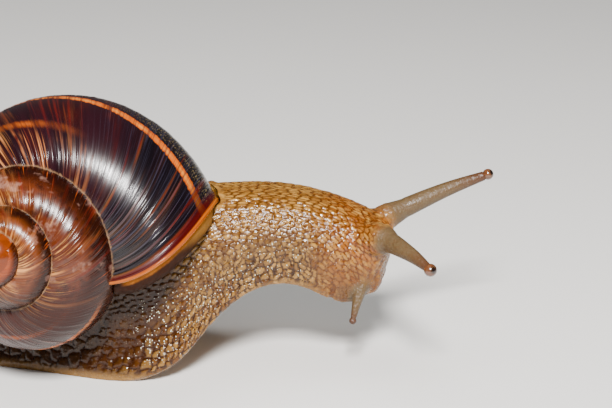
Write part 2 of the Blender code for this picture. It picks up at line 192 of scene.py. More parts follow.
last_row = len(row_turn) - 1
bpy.ops.object.select_all(action="DESELECT")
bpy.ops.mesh.primitive_grid_add(x_subdivisions=last_row, y_subdivisions=COLUMNS, size=2)
shell = bpy.context.object
shell.name = "shell"
flat = points_of(shell)
row = np.rint((flat[:, 0] + 1) / 2 * last_row).astype(int)
column = (flat[:, 1] + 1) / 2
seen = SEEN_FROM + (SEEN_TO - SEEN_FROM) * column / SEEN_SHARE
hidden_arc = SEEN_FROM + 2 * math.pi - SEEN_TO
hidden = SEEN_TO + hidden_arc * (column - SEEN_SHARE) / (1 - SEEN_SHARE)
angle = np.where(column <= SEEN_SHARE, seen, hidden)
turn = row_turn[row]
print("shell grid", len(flat), "points")

# %% [markdown]
# The growth lines are real ridges. Each is a place where the mouth once stood, so it runs
# along rows of the grid. The few deep ones show where the animal rested from growing.

# %% Growth lines, and the grid wound up
OUTER_LENGTH = 271.0  # millimetres of coil round the outside, to the mouth

rng = np.random.default_rng(11)


def ridges(length, spacing):
    """Random heights from 0 to 1 along a length, a new one every spacing."""
    count = int(OUTER_LENGTH / spacing) + 3
    return np.interp(length / spacing, np.arange(count), rng.random(count))


def growth_relief(length, angle):
    """How deep the growth lines lie below the shell's outline, in millimetres."""
    waver = 0.8 * np.sin(3.1 * angle + 1.0) + 0.5 * np.sin(7.3 * angle)
    fine = ridges(length + 0.12 * waver, 0.55)
    broad = ridges(length + 0.2 * waver, 2.3)
    rests = ridges(length, 9.0) ** 6
    seam = soft_step(math.radians(71.5), math.radians(79.5), angle) * ridges(length, 0.8)
    return 0.075 * fine + 0.06 * broad + 0.1 * rests * fine + 0.22 * seam


def move_points(obj, points):
    obj.data.vertices.foreach_set("co", points.astype(np.float32).ravel())
    obj.data.update()


length = OUTER_LENGTH * WHORL_GROWTH**turn
worn = soft_step(-2.7, -1.9, turn) * (1 - soft_step(-1.6 * LIP_WIDTH, -0.5 * LIP_WIDTH, turn))
relief = -MM * growth_relief(length, angle) * worn
move_points(shell, wind(turn, angle, row_rise[row] + relief))
print("growth lines up to", round(-relief.min() / MM, 2), "mm deep")

# %% [markdown]
# The grid's own UV map is rewritten to hold the shell's two numbers, because the colours
# follow them: along the coil the length so far, and across it the angle.


# %% The coil map
def write_coil_map(obj, along, across):
    """Stores the two numbers of each point in the UV map named coil."""
    layer = obj.data.uv_layers[0]
    layer.name = "coil"
    index = np.zeros(len(obj.data.loops), int)
    obj.data.loops.foreach_get("vertex_index", index)
    pairs = np.stack([along[index], across[index]], 1)
    layer.data.foreach_set("uv", pairs.astype(np.float32).ravel())


write_coil_map(shell, WHORL_GROWTH**turn, angle / (2 * math.pi) + 0.5)
print("coil map on", len(shell.data.loops), "corners")

# %% [markdown]
# Operators act on whatever is selected, so each step first selects only what it needs. The
# two long edges of the grid are merged, and the small openings at both ends are closed.


# %% Close the tube
def select_only(*objects):
    """Selects these objects and nothing else, and makes the first one active."""
    bpy.ops.object.select_all(action="DESELECT")
    for obj in objects:
        obj.select_set(True)
    bpy.context.view_layer.objects.active = objects[0]


def mend(obj, merge=1e-6, fill=False, outwards=True):
    """Merges points that meet; may also fill openings and turn the faces outwards."""
    select_only(obj)
    bpy.ops.object.mode_set(mode="EDIT")
    bpy.ops.mesh.select_mode(type="VERT")
    bpy.ops.mesh.select_all(action="SELECT")
    bpy.ops.mesh.remove_doubles(threshold=merge)
    if fill:
        bpy.ops.mesh.select_all(action="DESELECT")
        bpy.ops.mesh.select_non_manifold(extend=False)
        bpy.ops.mesh.fill(use_beauty=False)
        bpy.ops.mesh.select_all(action="SELECT")
    if outwards:
        bpy.ops.mesh.normals_make_consistent(inside=False)
    bpy.ops.object.mode_set(mode="OBJECT")


mend(shell, fill=True)
print("closed shell", len(shell.data.vertices), "points")

# %% [markdown]
# The shell starts as a smooth dome, which the snail already had in the egg. The wound tube
# is too thin there, so a ball beside the axis gives it.

# %% The young shell's dome
DOME_RADIUS = 3.2 * MM
DOME_TURN = -3.0
DOME_OFFSET = 0.3  # how far the dome lies off the axis, as a share of the first whorl's way


def add_ball(radius, place, turned=(0.0, 0.0, 0.0), stretch=(1.0, 1.0, 1.0)):
    """A ball whose place, turn and stretch are made part of its mesh."""
    bpy.ops.mesh.primitive_uv_sphere_add(
        segments=48, ring_count=32, radius=radius, location=place, rotation=turned, scale=stretch
    )
    bpy.ops.object.transform_apply(location=True, rotation=True, scale=True)
    return bpy.context.object


def count_triangles(obj):
    return sum(len(face.vertices) - 2 for face in obj.data.polygons)


start_angles = np.linspace(0, 2 * math.pi, 24, endpoint=False)
start_centre = wind(np.full(24, DOME_TURN), start_angles).mean(0)
on_axis = APEX + SHELL_AXIS * np.dot(start_centre - APEX, SHELL_AXIS)
dome = add_ball(DOME_RADIUS, on_axis + DOME_OFFSET * (start_centre - on_axis))
dome_points = len(dome.data.vertices)
write_coil_map(dome, np.full(dome_points, WHORL_GROWTH**COIL_START), np.full(dome_points, 0.6))
select_only(shell, dome)
bpy.ops.object.join()
bpy.ops.object.shade_smooth()
print("shell", count_triangles(shell), "triangles")

# %% [markdown]
# ## The skin
#
# Tail, foot, neck and head are separate solids with thin gaps, but the animal has one
# skin. Copies of the solids are joined, with a small ball for the fold of skin that fills
# the corner behind the lip's top.

# %% Copy the flesh solids
FLESH = ("foot", "tail", "neck", "head")
FOLD_PLACE = (21.3, 2.4, 24.6)  # millimetres
FOLD_RADII = (1.2, 2.0, 1.4)


def copy_of_nodes(names, new_name):
    """One new object from copies of CAD nodes, with their loose triangles merged."""
    select_only(*[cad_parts[name] for name in names])
    bpy.ops.object.duplicate()
    copies = list(bpy.context.selected_objects)
    select_only(*copies)
    if len(copies) > 1:
        bpy.ops.object.join()
    obj = bpy.context.object
    obj.name = new_name
    obj.parent = None
    for key in list(obj.keys()):
        del obj[key]
    mend(obj, outwards=False)
    obj.data.materials.clear()
    return obj


skin = copy_of_nodes(FLESH, "skin")
neck_fold = add_ball(MM, Vector(FOLD_PLACE) * MM, stretch=FOLD_RADII)
select_only(skin, neck_fold)
bpy.ops.object.join()
print("flesh", count_triangles(skin), "triangles")

# %% [markdown]
# The joined solids are swollen until the gaps close, remeshed into one even surface and
# shrunk back, so the outline stays where it was. Each modifier is added, set and applied
# in one go, which leaves a plain mesh behind.

# %% One skin from the flesh solids
GAP_CLOSING = 0.26 * MM
SKIN_GRAIN = 0.2 * MM  # the size of the skin's faces


def apply_modifier(obj, kind, **settings):
    """Adds a modifier, sets it, and makes its result the mesh."""
    select_only(obj)
    bpy.ops.object.modifier_add(type=kind)
    modifier = obj.modifiers[-1]
    for name, value in settings.items():
        setattr(modifier, name, value)
    bpy.ops.object.modifier_apply(modifier=modifier.name)


apply_modifier(skin, "DISPLACE", strength=GAP_CLOSING, mid_level=0.0)
apply_modifier(skin, "REMESH", mode="VOXEL", voxel_size=SKIN_GRAIN, use_smooth_shade=True)
apply_modifier(skin, "DISPLACE", strength=-GAP_CLOSING, mid_level=0.0)
apply_modifier(skin, "SMOOTH", factor=0.5, iterations=8)
print("skin", len(skin.data.vertices), "points")

# %% [markdown]
# ## The tentacles
#
# A Helix has two long upper tentacles with an eye on each and two short lower ones for
# smell. A smooth curve is led through four points of each, the first inside the head.

# %% The ways of the tentacles
TENTACLES = {  # points in millimetres, then radii: root flare, shaft, waist, knob
    "upper_right": (
        ((42.6, -4.2, 19.6), (45.6, -6.4, 20.5), (49.2, -12.0, 20.5), (52.3, -16.9, 19.6)),
        (0.9, 1.55, 0.62, 0.9),
    ),
    "upper_left": (
        ((43.6, -0.6, 20.0), (47.0, 1.1, 21.3), (54.8, 2.9, 24.4), (62.0, 4.0, 26.8)),
        (0.5, 1.5, 0.66, 0.8),
    ),
    "lower_right": (
        ((43.3, -4.6, 15.6), (42.8, -5.9, 13.4), (42.1, -7.4, 10.9), (41.5, -8.5, 8.4)),
        (0.4, 0.85, 0.4, 0.52),
    ),
    "lower_left": (
        ((44.2, 0.4, 14.6), (44.9, 1.6, 12.4), (45.2, 2.8, 10.9), (45.4, 3.8, 9.6)),
        (0.4, 0.7, 0.36, 0.5),
    ),
}
PATH_STEPS = 40  # from one of the four points to the next


def smooth_path(points):
    """Points of a smooth curve through those given."""
    ends = [2 * points[0] - points[1], *points, 2 * points[-1] - points[-2]]
    path = []
    for a, b, c, d in zip(ends, ends[1:], ends[2:], ends[3:]):
        for j in range(PATH_STEPS):
            t = j / PATH_STEPS
            bend = (2 * a - 5 * b + 4 * c - d) * t**2 + (3 * b - a - 3 * c + d) * t**3
            path.append(0.5 * (2 * b + (c - a) * t + bend))
    return path + [points[-1]]


print("tentacles", list(TENTACLES))

# %% [markdown]
# A tentacle is a hollow tube of skin, widest at its root, with a waist and a knob at its
# end. One function gives the radius at any distance, with the numbers of the solids.

# %% How thick a tentacle is
FLARE_LENGTH = 1.6 * MM
ROOT_SINK = 0.12 * MM  # how far the root starts inside the head's own stub
SINK_LENGTH = 1.4 * MM


def tentacle_radius(at, leave, total, radii):
    """The radius at some distance along a tentacle."""
    flare, shaft, waist, knob = radii
    knob_start = total - 1.8 * knob
    if at > knob_start:
        reach = max(-1.0, min(1.0, (at - (total - knob)) / knob))
        return max(0.02 * MM, knob * math.sqrt(max(0.0, 1 - reach * reach)))
    way = max(0.0, at - leave) / (knob_start - leave)
    out = max(0.0, at - leave) / FLARE_LENGTH
    sunk = ROOT_SINK * max(0.0, 1 - max(0.0, at - leave) / SINK_LENGTH)
    return shaft + (waist - shaft) * way**1.3 + flare * math.exp(-out * out) - sunk


print("waist radii", [radii[2] for _, radii in TENTACLES.values()])

# %% [markdown]
# A cylinder would have to be tapered and then bent. A curve with a radius at each of its
# points becomes such a tube at once.

# %% Draw a tentacle
TENTACLE_STEPS = 70


def draw_tentacle(name, points, radii, stop_short):
    """A tube along a curve, which ends some radii of the knob before the tip."""
    path = smooth_path([Vector(p) * MM for p in points])
    lengths = np.cumsum([0.0] + [(b - a).length for a, b in zip(path, path[1:])])
    total = lengths[-1]
    leave = (path[PATH_STEPS] - path[0]).length
    bpy.ops.curve.primitive_nurbs_path_add()
    curve = bpy.context.object
    curve.name = name
    curve.data.splines.clear()
    curve.data.dimensions = "3D"
    curve.data.bevel_depth = 1.0
    curve.data.bevel_resolution = 8
    curve.data.use_fill_caps = True
    spline = curve.data.splines.new("POLY")
    spline.points.add(TENTACLE_STEPS)
    coordinates = np.array([tuple(p) for p in path])
    last = total - stop_short * radii[3] * MM
    for i, point in enumerate(spline.points):
        at = last * math.sin(0.5 * math.pi * i / TENTACLE_STEPS) ** 0.9
        place = [np.interp(at, lengths, coordinates[:, k]) for k in range(3)]
        point.co = (*place, 1.0)
        point.radius = tentacle_radius(at, leave, total, [r * MM for r in radii])
    select_only(curve)
    bpy.ops.object.convert(target="MESH")
    mend(bpy.context.object, merge=2e-6)
    return bpy.context.object


print("each tube has", TENTACLE_STEPS + 1, "rings")

# %% [markdown]
# Each tube is united with the skin, so no seam shows. The upper ones stop inside their eye
# knobs. The edge at each root is then smoothed, and a vertex group keeps that to the roots.

# %% Unite the tentacles with the skin
KNOB_GAP = 1.3  # in radii of the knob
ROOT_SMOOTHING = 10  # rounds


def mark(obj, name, where):
    """A vertex group of the points where a test is true."""
    group = obj.vertex_groups.new(name=name)
    group.add([int(i) for i in np.flatnonzero(where)], 1.0, "REPLACE")


for name, (points, radii) in TENTACLES.items():
    tube = draw_tentacle(name, points, radii, KNOB_GAP if "upper" in name else 0.0)
    apply_modifier(skin, "BOOLEAN", operation="UNION", solver="MANIFOLD", object=tube)
    bpy.data.objects.remove(tube, do_unlink=True)
skin_points = points_of(skin)
root_zone = np.zeros(len(skin_points), bool)
for points, radii in TENTACLES.values():
    leave = np.array(points[1]) * MM
    reach = np.linalg.norm(skin_points - leave, axis=1)
    root_zone |= reach < (1.5 * radii[1] + 0.9) * MM
mark(skin, "root", root_zone)
apply_modifier(skin, "SMOOTH", factor=0.5, iterations=ROOT_SMOOTHING, vertex_group="root")
skin.vertex_groups.clear()
print("skin with tentacles", len(skin.data.vertices), "points")

# %% [markdown]
# The flat sole and the flesh inside the shell are never seen close, so their faces are
# merged into larger ones, and the others stay as fine as they were.

# %% Spend fewer faces where none is seen
SKIN_TRIANGLES = 275000
SOLE_HEIGHT = 0.05 * MM


def tree_of(points):
    """A tree that finds quickly which of some points lie near."""
    tree = kdtree.KDTree(len(points))
    for i, point in enumerate(points):
        tree.insert(point, i)
    tree.balance()
    return tree


def nearest(points, targets):
    """For each point the nearest target: its place, its number and how far it is."""
    tree = tree_of(targets)
    places, numbers, distances = zip(*[tree.find(point) for point in points])
    return np.array([tuple(found) for found in places]), np.array(numbers), np.array(distances)


shell_points = points_of(shell)[::3]
skin_points = points_of(skin)
touched, _, apart = nearest(skin_points, shell_points)
facing = np.sum((touched - skin_points) * points_of(skin, "normal"), 1) > 0.8 * apart
mark(skin, "hidden", facing & (apart < 0.75 * MM) | (skin_points[:, 2] < SOLE_HEIGHT))
apply_modifier(
    skin,
    "DECIMATE",
    ratio=min(1.0, SKIN_TRIANGLES / count_triangles(skin)),
    vertex_group="hidden",
    vertex_group_factor=1000.0,
)
skin.vertex_groups.clear()
print("skin has", count_triangles(skin), "triangles")

# %% [markdown]
# ## Where on the body a point lies
#
# Warts and colours change from the back down to the edge of the foot. Each point gets its
# height between the two, and the slope of the body there.

# %% Measure the body in slices
place = points_of(skin) / MM
x, y, z = place.T
slices = np.arange(-34.0, 48.0, 1.0)
low = np.zeros(len(slices))
high = np.zeros(len(slices))
for i, middle in enumerate(slices):
    near = place[np.abs(x - middle) < 1.0]
    low[i], high[i] = np.percentile(near[:, 2], (2, 98)) if len(near) else (0.0, 1.0)


def height_and_slope(levels):
    """The eased levels of the slices and their slope, at each point of the skin."""
    eased = np.convolve(np.pad(levels, 2, mode="edge"), np.ones(5) / 5, mode="valid")
    return [np.interp(x, slices, line) for line in (eased, np.gradient(eased))]


foot_z, foot_slope = height_and_slope(low)
back_z, back_slope = height_and_slope(high)
height = np.clip((z - foot_z) / np.maximum(back_z - foot_z, 0.5), 0.0, 1.0)
print("the back rises to", round(high.max(), 1), "mm")

# %% [markdown]
# The tentacles and the skin beside the shell are smooth. So each point also gets its
# distance from the shell, and where it lies along a tentacle.

# %% Measure from shell and tentacles
from_shell = nearest(place, shell_points / MM)[2]
along_tentacle = np.full(len(place), -1.0)
on_tentacle = np.zeros(len(place))
for points, radii in TENTACLES.values():
    path = np.array([tuple(p) for p in smooth_path([Vector(p) for p in points])])
    _, index, distance = nearest(place, path)
    way = (index - PATH_STEPS) / (2 * PATH_STEPS)
    beside = 1 - soft_step(radii[1] + 0.2, radii[1] + 0.9, distance)
    here = beside * soft_step(-0.35, 0.1, way)
    along_tentacle = np.where(here > on_tentacle, way, along_tentacle)
    on_tentacle = np.maximum(on_tentacle, here)
print("measured", len(place), "points of skin")

# %% [markdown]
# ## Warts
#
# The skin is covered by flat warts, parted by grooves that carry slime. On the back they
# are long and lie in rows, and towards the flank they are round. A matrix at each point
# measures distances in the size of a wart there.

# %% The size of the warts
# height on the body, from 0 to 1, and the size of a wart there in millimetres
LENGTHS = ((0.0, 0.75), (0.3, 0.85), (0.55, 1.0), (0.8, 1.45), (1.0, 1.7))
HEIGHTS = ((0.0, 1.3), (0.3, 1.15), (0.55, 0.75), (0.8, 0.56), (1.0, 0.52))
WART_THICKNESS = 1.6  # millimetres along the normal
HEAD_ROWS_FALL = 1.0  # how steeply the rows of warts run down over the head

normal = points_of(skin, "normal")
forward = soft_step(16.0, 26.0, x)
headward = soft_step(34.0, 41.0, x)
slope = foot_slope * (1 - height) + back_slope * height - HEAD_ROWS_FALL * headward
lengthwise = np.stack([np.ones(len(place)), np.zeros(len(place)), slope], 1)
lengthwise -= normal * np.sum(lengthwise * normal, 1)[:, None]
lengthwise /= np.maximum(np.linalg.norm(lengthwise, axis=1), 1e-6)[:, None]
crosswise = np.cross(normal, lengthwise)
wart_size = 1 - 0.15 * forward - 0.12 * headward
wart_length = np.interp(height, *zip(*LENGTHS)) * wart_size
wart_height = np.interp(height, *zip(*HEIGHTS)) * wart_size
wart_length += (1.25 - wart_length) * headward
wart_height += (0.5 - wart_height) * headward
sides = (lengthwise / wart_length[:, None], crosswise / wart_height[:, None])
stretch_to = np.stack([*sides, normal / WART_THICKNESS], 1)
print("warts from", wart_height.min().round(2), "to", wart_length.max().round(2), "mm")

# %% [markdown]
# Seeds are scattered so that none is closer to another than a wart's size there. A coarse
# grid of cells tells which seeds are near enough to be compared.

# %% Scatter the seeds of the warts
SEED_SPACING = 0.8  # in wart sizes
CELL_SIZE = 1.2  # millimetres


def scatter_seeds(candidates):
    """Picks points so that no two are closer than the spacing, in wart sizes."""
    cells = {}
    kept = []
    for i in candidates:
        cell = tuple(int(c // CELL_SIZE) for c in place[i])
        near = [
            j
            for a in (-1, 0, 1)
            for b in (-1, 0, 1)
            for c in (-1, 0, 1)
            for j in cells.get((cell[0] + a, cell[1] + b, cell[2] + c), ())
        ]
        if near:
            apart = (place[near] - place[i]) @ stretch_to[i].T
            if np.min(np.sum(apart * apart, 1)) < SEED_SPACING**2:
                continue
        cells.setdefault(cell, []).append(i)
        kept.append(i)
    return np.array(kept)


seeds = scatter_seeds(rng.permutation(len(place))[::3])
print(len(seeds), "warts")

# %% [markdown]
# A point belongs to its nearest seed, and where two seeds are equally near there is a
# groove. From there each wart rises to a low dome.

# %% Domes and grooves
GROOVE_WIDTH = 0.4  # in wart sizes
NEIGHBOURS = 9

tree = tree_of(place[seeds])
near = np.array([[f[1] for f in tree.find_n(point, NEIGHBOURS)] for point in place])
apart = place[seeds[near]] - place[:, None, :]
apart = np.linalg.norm(np.einsum("nkj,nij->nki", apart, stretch_to), axis=2)
reach = np.sort(apart, axis=1)
owner = near[np.arange(len(place)), np.argmin(apart, axis=1)]
from_edge = reach[:, 1] - reach[:, 0]
dome_of_wart = 0.7 * soft_step(0.0, GROOVE_WIDTH, from_edge)
dome_of_wart += 0.3 * soft_step(0.1, 0.9, from_edge)
wart_tone = rng.random(len(seeds))[owner]
print("points in grooves", int(np.sum(from_edge < GROOVE_WIDTH / 2)))

# %% [markdown]
# On the flank the grooves run down to the edge of the foot in uneven, wavering columns.
# Each point finds the column between whose edges it lies.

# %% Columns on the flank
WIDE_COLUMN = 1.3  # millimetres, behind the bend of the neck
NARROW_COLUMN = 0.75  # in front of it

up = z - foot_z
edges = [-40.0]
while edges[-1] < 70.0:
    width = np.interp(edges[-1], (9.0, 18.0), (WIDE_COLUMN, NARROW_COLUMN))
    edges.append(edges[-1] + width * rng.uniform(0.75, 1.25))
edges = np.array(edges)
waver = 0.16 * np.sin(2.9 * x + 1.7 * z) + 0.14 * np.sin(3.1 * z - 2.3 * x + 2.0)
waver += 0.3 * np.sin(0.6 * z + 0.2 * x)
across_flank = x + waver - 0.2 * up * (1 - forward)
column = np.searchsorted(edges, across_flank) - 1
column_width = edges[column + 1] - edges[column]
to_column_edge = np.minimum(across_flank - edges[column], edges[column + 1] - across_flank)
print("columns", len(np.unique(column)))

# %% [markdown]
# Short cross grooves part each column into blocks, as in a wall of bricks. Counting steps
# up the column gives them without a search.

# %% Blocks in the columns
COLUMN_GROOVE = 0.26  # as a share of the column's width
BLOCK_GROOVE = 0.2
FLANK_TOP = 0.5  # of the height, where the blocks give way to warts

shift = rng.random(len(edges))[column]
size = column_width * (0.9 + 0.5 * shift)
step_up = (up + 0.15 * np.sin(2.3 * x + 6 * shift)) / size + 9 * shift
block = np.floor(step_up)
to_block_edge = size * (0.5 - np.abs(step_up - block - 0.5))
from_groove = np.minimum(to_column_edge / COLUMN_GROOVE, to_block_edge / BLOCK_GROOVE)
from_groove /= column_width
block_dome = 0.75 * soft_step(0.0, 1.0, from_groove) + 0.25 * soft_step(0.3, 2.0, from_groove)
block_tone = np.mod(np.sin(column * 78.233 + block * 37.719) * 9631.731, 1.0)
in_columns = soft_step(FLANK_TOP + 0.12, FLANK_TOP - 0.12, height) * (1 - headward)
in_columns *= soft_step(1.0, 0.75, np.abs(normal[:, 0]))
relief = dome_of_wart + (block_dome - dome_of_wart) * in_columns
wart_tone = wart_tone + (block_tone - wart_tone) * in_columns
print("points in blocks", int(np.sum(in_columns > 0.5)))

# %% [markdown]
# Round the mouth the skin lies in upright folds, as fine ribs on the lobe behind the lower
# tentacle and as broader ones on the snout. A deep crease parts the lobe from the foot.

# %% Upright folds round the mouth
RIB_SPACING = 0.55  # millimetres
FOLD_SPACING = 0.85
CREASE_AT = 38.6  # millimetres ahead of the origin
CREASE_TOP = 15.5
SNOUT_MIDDLE = 42.0

to_crease = x - CREASE_AT - 0.16 * (z - 12.0)
on_lobe = soft_step(0.2, 0.9, to_crease) * soft_step(43.0, 42.0, x) * soft_step(14.6, 13.0, z)
on_snout = soft_step(42.4, 43.4, x) * soft_step(19.0, 16.0, z)
lobe_ribs = 0.5 + 0.5 * np.cos(2 * math.pi * (x + 0.1 * z + 0.08 * np.sin(3 * z)) / RIB_SPACING)
round_snout = np.hypot(x - SNOUT_MIDDLE, y)
snout_turn = np.arctan2(y, x - SNOUT_MIDDLE) * np.minimum(round_snout, 4.0)
snout_wave = snout_turn - 0.2 * z + 0.15 * np.sin(1.3 * z + y)
snout_folds = np.abs(np.cos(math.pi * snout_wave / FOLD_SPACING)) ** 0.6
relief += (0.35 + 0.65 * lobe_ribs - relief) * 0.8 * on_lobe
relief += (0.15 + 0.85 * snout_folds * (0.6 + 0.4 * relief) - relief) * 0.85 * on_snout
crease = soft_step(0.55, 0.1, np.abs(to_crease)) * soft_step(CREASE_TOP, 12.5, z) * headward
print("points in the folds", int(np.sum(on_lobe + on_snout > 0.5)))

# %% [markdown]
# The relief is pressed in along the normals, but not on the sole, on the tentacles or in
# the smooth fold beside the shell.

# %% Press in the grooves
GROOVE_DEPTH = 0.17  # millimetres
CREASE_DEPTH = 0.35

sole = np.maximum(soft_step(-0.55, -0.8, normal[:, 2]), soft_step(0.35, 0.05, z))
margin = soft_step(1.6, 0.3, up) * (1 - headward)
under_shell = soft_step(1.6, 0.4, from_shell)
fold = soft_step(2.2, 1.2, from_shell) * soft_step(9.0, 5.0, x)
warty = (1 - sole) * (1 - 0.5 * margin) * (1 - on_tentacle)
warty *= (1 - 0.9 * under_shell) * (1 - 0.9 * fold)
depth = GROOVE_DEPTH * MM * (0.75 + 0.5 * wart_tone) * warty
inward = depth * (1 - relief) + CREASE_DEPTH * MM * crease
move_points(skin, points_of(skin) - normal * inward[:, None])
select_only(skin)
bpy.ops.object.shade_smooth()
print("pressed in by up to", round(inward.max() / MM, 2), "mm")

# %% [markdown]
# A material can't measure the body. So what it needs is stored point by point, as named
# attributes of the mesh.


# %% Numbers for the materials
def keep_values(obj, **named):
    """Stores one number for each point under each name, for a material to read."""
    for name, values in named.items():
        layer = obj.data.attributes.new(name, "FLOAT", "POINT")
        layer.data.foreach_set("value", values.astype(np.float32))


# Painted shade: the skin under the mouth of the shell, where its shadow falls, is marked for dark
# brown.
shade = soft_step(14.0, 6.0, from_shell) * soft_step(0.97, 0.85, height)
# where the slime drops and their painted glints go
wet = soft_step(9.0, 14.0, x) * soft_step(37.0, 33.0, x) * soft_step(0.78, 0.62, height)
keep_values(
    skin,
    wart=(relief * warty + (1 - warty)) * (1 - crease),
    tone=wart_tone,
    height=height,
    headward=headward,
    margin=np.maximum(margin, 0.6 * sole),
    fold=fold,
    shade=shade * soft_step(27.0, 14.0, x + 0.5 * (z - 14.0)),
    wet=wet * soft_step(0.08, 0.24, height) * (1 - sole),
    lobe=on_lobe,
    tentacle=on_tentacle,
    tip=np.clip(along_tentacle, 0, 1),
)
print("skin carries", len(skin.data.attributes), "attributes")

# %% [markdown]
# ## The collar in the mouth
#
# The mantle is the animal's cloak, and its thick edge closes the mouth of the shell round
# the neck. A copy of its solid is swollen a little, so that it meets lip and neck, and
# rounded off by a remesh. Its rim at the lip is stored for a colour of its own.

# %% The mantle collar
COLLAR_SWELL = 0.42 * MM  # closes the gaps of the solids towards lip and neck
COLLAR_GRAIN = 0.2 * MM

collar = copy_of_nodes(("mantle_collar",), "mantle_edge")
apply_modifier(collar, "DISPLACE", strength=COLLAR_SWELL, mid_level=0.0)
apply_modifier(collar, "REMESH", mode="VOXEL", voxel_size=COLLAR_GRAIN, use_smooth_shade=True)
apply_modifier(collar, "SMOOTH", factor=0.5, iterations=6)
from_lip = nearest(points_of(collar), points_of(shell))[2] / MM
beside_lip = soft_step(9.6, 10.8, points_of(collar)[:, 0] / MM)
keep_values(collar, rim=soft_step(1.1, 0.55, from_lip) * beside_lip)
print("collar", len(collar.data.vertices), "points")

# %% [markdown]
# ## The eyes
#
# Each upper tentacle ends in a clear knob, with the eye as a dark dot inside its skin. A
# ball is set on the tentacle's end, and its points carry the dot as a number.

# %% The eye knobs
eyes = []
for side in ("right", "left"):
    points, radii = TENTACLES[f"upper_{side}"]
    knob = radii[3] * MM
    path = smooth_path([Vector(p) * MM for p in points])
    direction = (path[-1] - path[-6]).normalized()
    turned = direction.to_track_quat("Z", "Y").to_euler()
    eye = add_ball(knob, path[-1] - direction * knob, turned)
    eye.name = f"eye_knob_{side}"
    bpy.ops.object.shade_smooth()
    dot = Vector((0.25, -0.45, 0.35)) * knob + path[-1] - direction * (0.62 * knob)
    distance = np.linalg.norm(points_of(eye) - np.array(dot), axis=1) / knob
    keep_values(eye, pupil=1 - soft_step(0.25, 0.85, distance))
    eyes.append(eye)
print("eyes", [eye.name for eye in eyes])

# %% [markdown]
# ## Helpers for materials
#
# A material is a small tree of nodes. These helpers add the few kinds that are used, so
# that each finish below reads as a list of what it mixes.


# %% Materials, nodes and sums
def put(socket, value):
    """Links a node's output into a socket, or sets the socket to a plain value."""
    if isinstance(value, bpy.types.NodeSocket):
        socket.id_data.links.new(value, socket)
    else:
        socket.default_value = value


def fill(node, **inputs):
    """Links or sets a node's sockets by their names."""
    for name, value in inputs.items():
        put(node.inputs[name.replace("_", " ")], value)


def new_material(name, **settings):
    """A material with its Principled shader's own sockets set."""
    material = bpy.data.materials.new(name)
    material.use_nodes = True
    shader = material.node_tree.nodes["Principled BSDF"]
    fill(shader, **settings)
    return material, material.node_tree, shader


def add_node(tree, kind, **inputs):
    made = tree.nodes.new(kind)
    fill(made, **inputs)
    return made


def home(*values):
    """The node tree of the first of these values that is a socket."""
    return next(v.id_data for v in values if isinstance(v, bpy.types.NodeSocket))


def calc(operation, *values):
    """One step of arithmetic, on sockets or plain numbers."""
    made = home(*values).nodes.new("ShaderNodeMath")
    made.operation = operation
    for socket, value in zip(made.inputs, values):
        put(socket, value)
    return made.outputs[0]


print("helpers for nodes and sums")

# %% [markdown]
# A mask is a number from 0 to 1 for each place. Soft steps make masks, and a mask says how
# much of one colour lies over another.


# %% Masks and colours
def times(first, *others):
    """The product of some amounts, so that all of them must be high."""
    for other in others:
        first = calc("MULTIPLY", first, other)
    return first


def between(value, low, high, out_low=0.0, out_high=1.0):
    """A soft step from one level to another."""
    made = value.id_data.nodes.new("ShaderNodeMapRange")
    made.interpolation_type = "SMOOTHSTEP"
    sockets = ("Value", "From Min", "From Max", "To Min", "To Max")
    for name, setting in zip(sockets, (value, low, high, out_low, out_high)):
        put(made.inputs[name], setting)
    return made.outputs["Result"]


def blend(amount, under, over):
    """One colour over another by some amount."""
    made = home(amount, under, over).nodes.new("ShaderNodeMix")
    made.data_type = "RGBA"
    put(made.inputs[0], amount)
    put(made.inputs[6], under)
    put(made.inputs[7], over)
    return made.outputs[2]


def paint(colour, *layers):
    """Lays colours over the first one in turn, each by its own amount."""
    for amount, over in layers:
        colour = blend(amount, colour, over)
    return colour


def noise(vector, scale, detail=2.0, roughness=0.5):
    settings = {"Vector": vector, "Scale": scale, "Detail": detail, "Roughness": roughness}
    return add_node(vector.id_data, "ShaderNodeTexNoise", **settings).outputs["Fac"]


def tint(red, green, blue):
    """A colour given as a monitor shows it, from 0 to 255, for a shader."""
    return (*[(c / 255) ** 2.2 for c in (red, green, blue)], 1.0)


print("a middle grey is", round(tint(128, 128, 128)[0], 3), "for a shader")

# %% [markdown]
# ## Slime: a finish that several pieces share
#
# Skin, collar and eyes are wet. A fine pattern of pores breaks the film of slime into
# small glints. It is a node group, so each material sets its own scale and wetness.


# %% The slime group
def spot_in(tree):
    """Where a point lies, in metres from the snail's origin."""
    return tree.nodes.new("ShaderNodeTexCoord").outputs["Object"]


slime = bpy.data.node_groups.new("slime film", "ShaderNodeTree")
for name, default in (("Scale", 3000.0), ("Wetness", 0.5)):
    socket = slime.interface.new_socket(name, in_out="INPUT", socket_type="NodeSocketFloat")
    socket.default_value = default
for name in ("Height", "Roughness"):
    slime.interface.new_socket(name, in_out="OUTPUT", socket_type="NodeSocketFloat")
entry = slime.nodes.new("NodeGroupInput")
leave = slime.nodes.new("NodeGroupOutput")
spot = spot_in(slime)
pores = add_node(slime, "ShaderNodeTexVoronoi", Vector=spot, Scale=entry.outputs["Scale"])
pores.feature = "SMOOTH_F1"
drops = noise(spot, 900.0, 3.0, 0.6)
raised = calc("SUBTRACT", 1.0, pores.outputs["Distance"])
put(leave.inputs["Height"], calc("MULTIPLY_ADD", drops, 0.5, raised))
dry = between(drops, 0.35, 0.65, 0.4, 0.2)
film = calc("MULTIPLY", entry.outputs["Wetness"], 0.12)
put(leave.inputs["Roughness"], calc("SUBTRACT", dry, film))
print("slime group with", len(slime.nodes), "nodes")

# %% [markdown]
# ## The finish of the shell
#
# The colours are read from the coil map, so they follow the shell's growth: by the turn
# from whorl to whorl, and by the angle from seam to band.

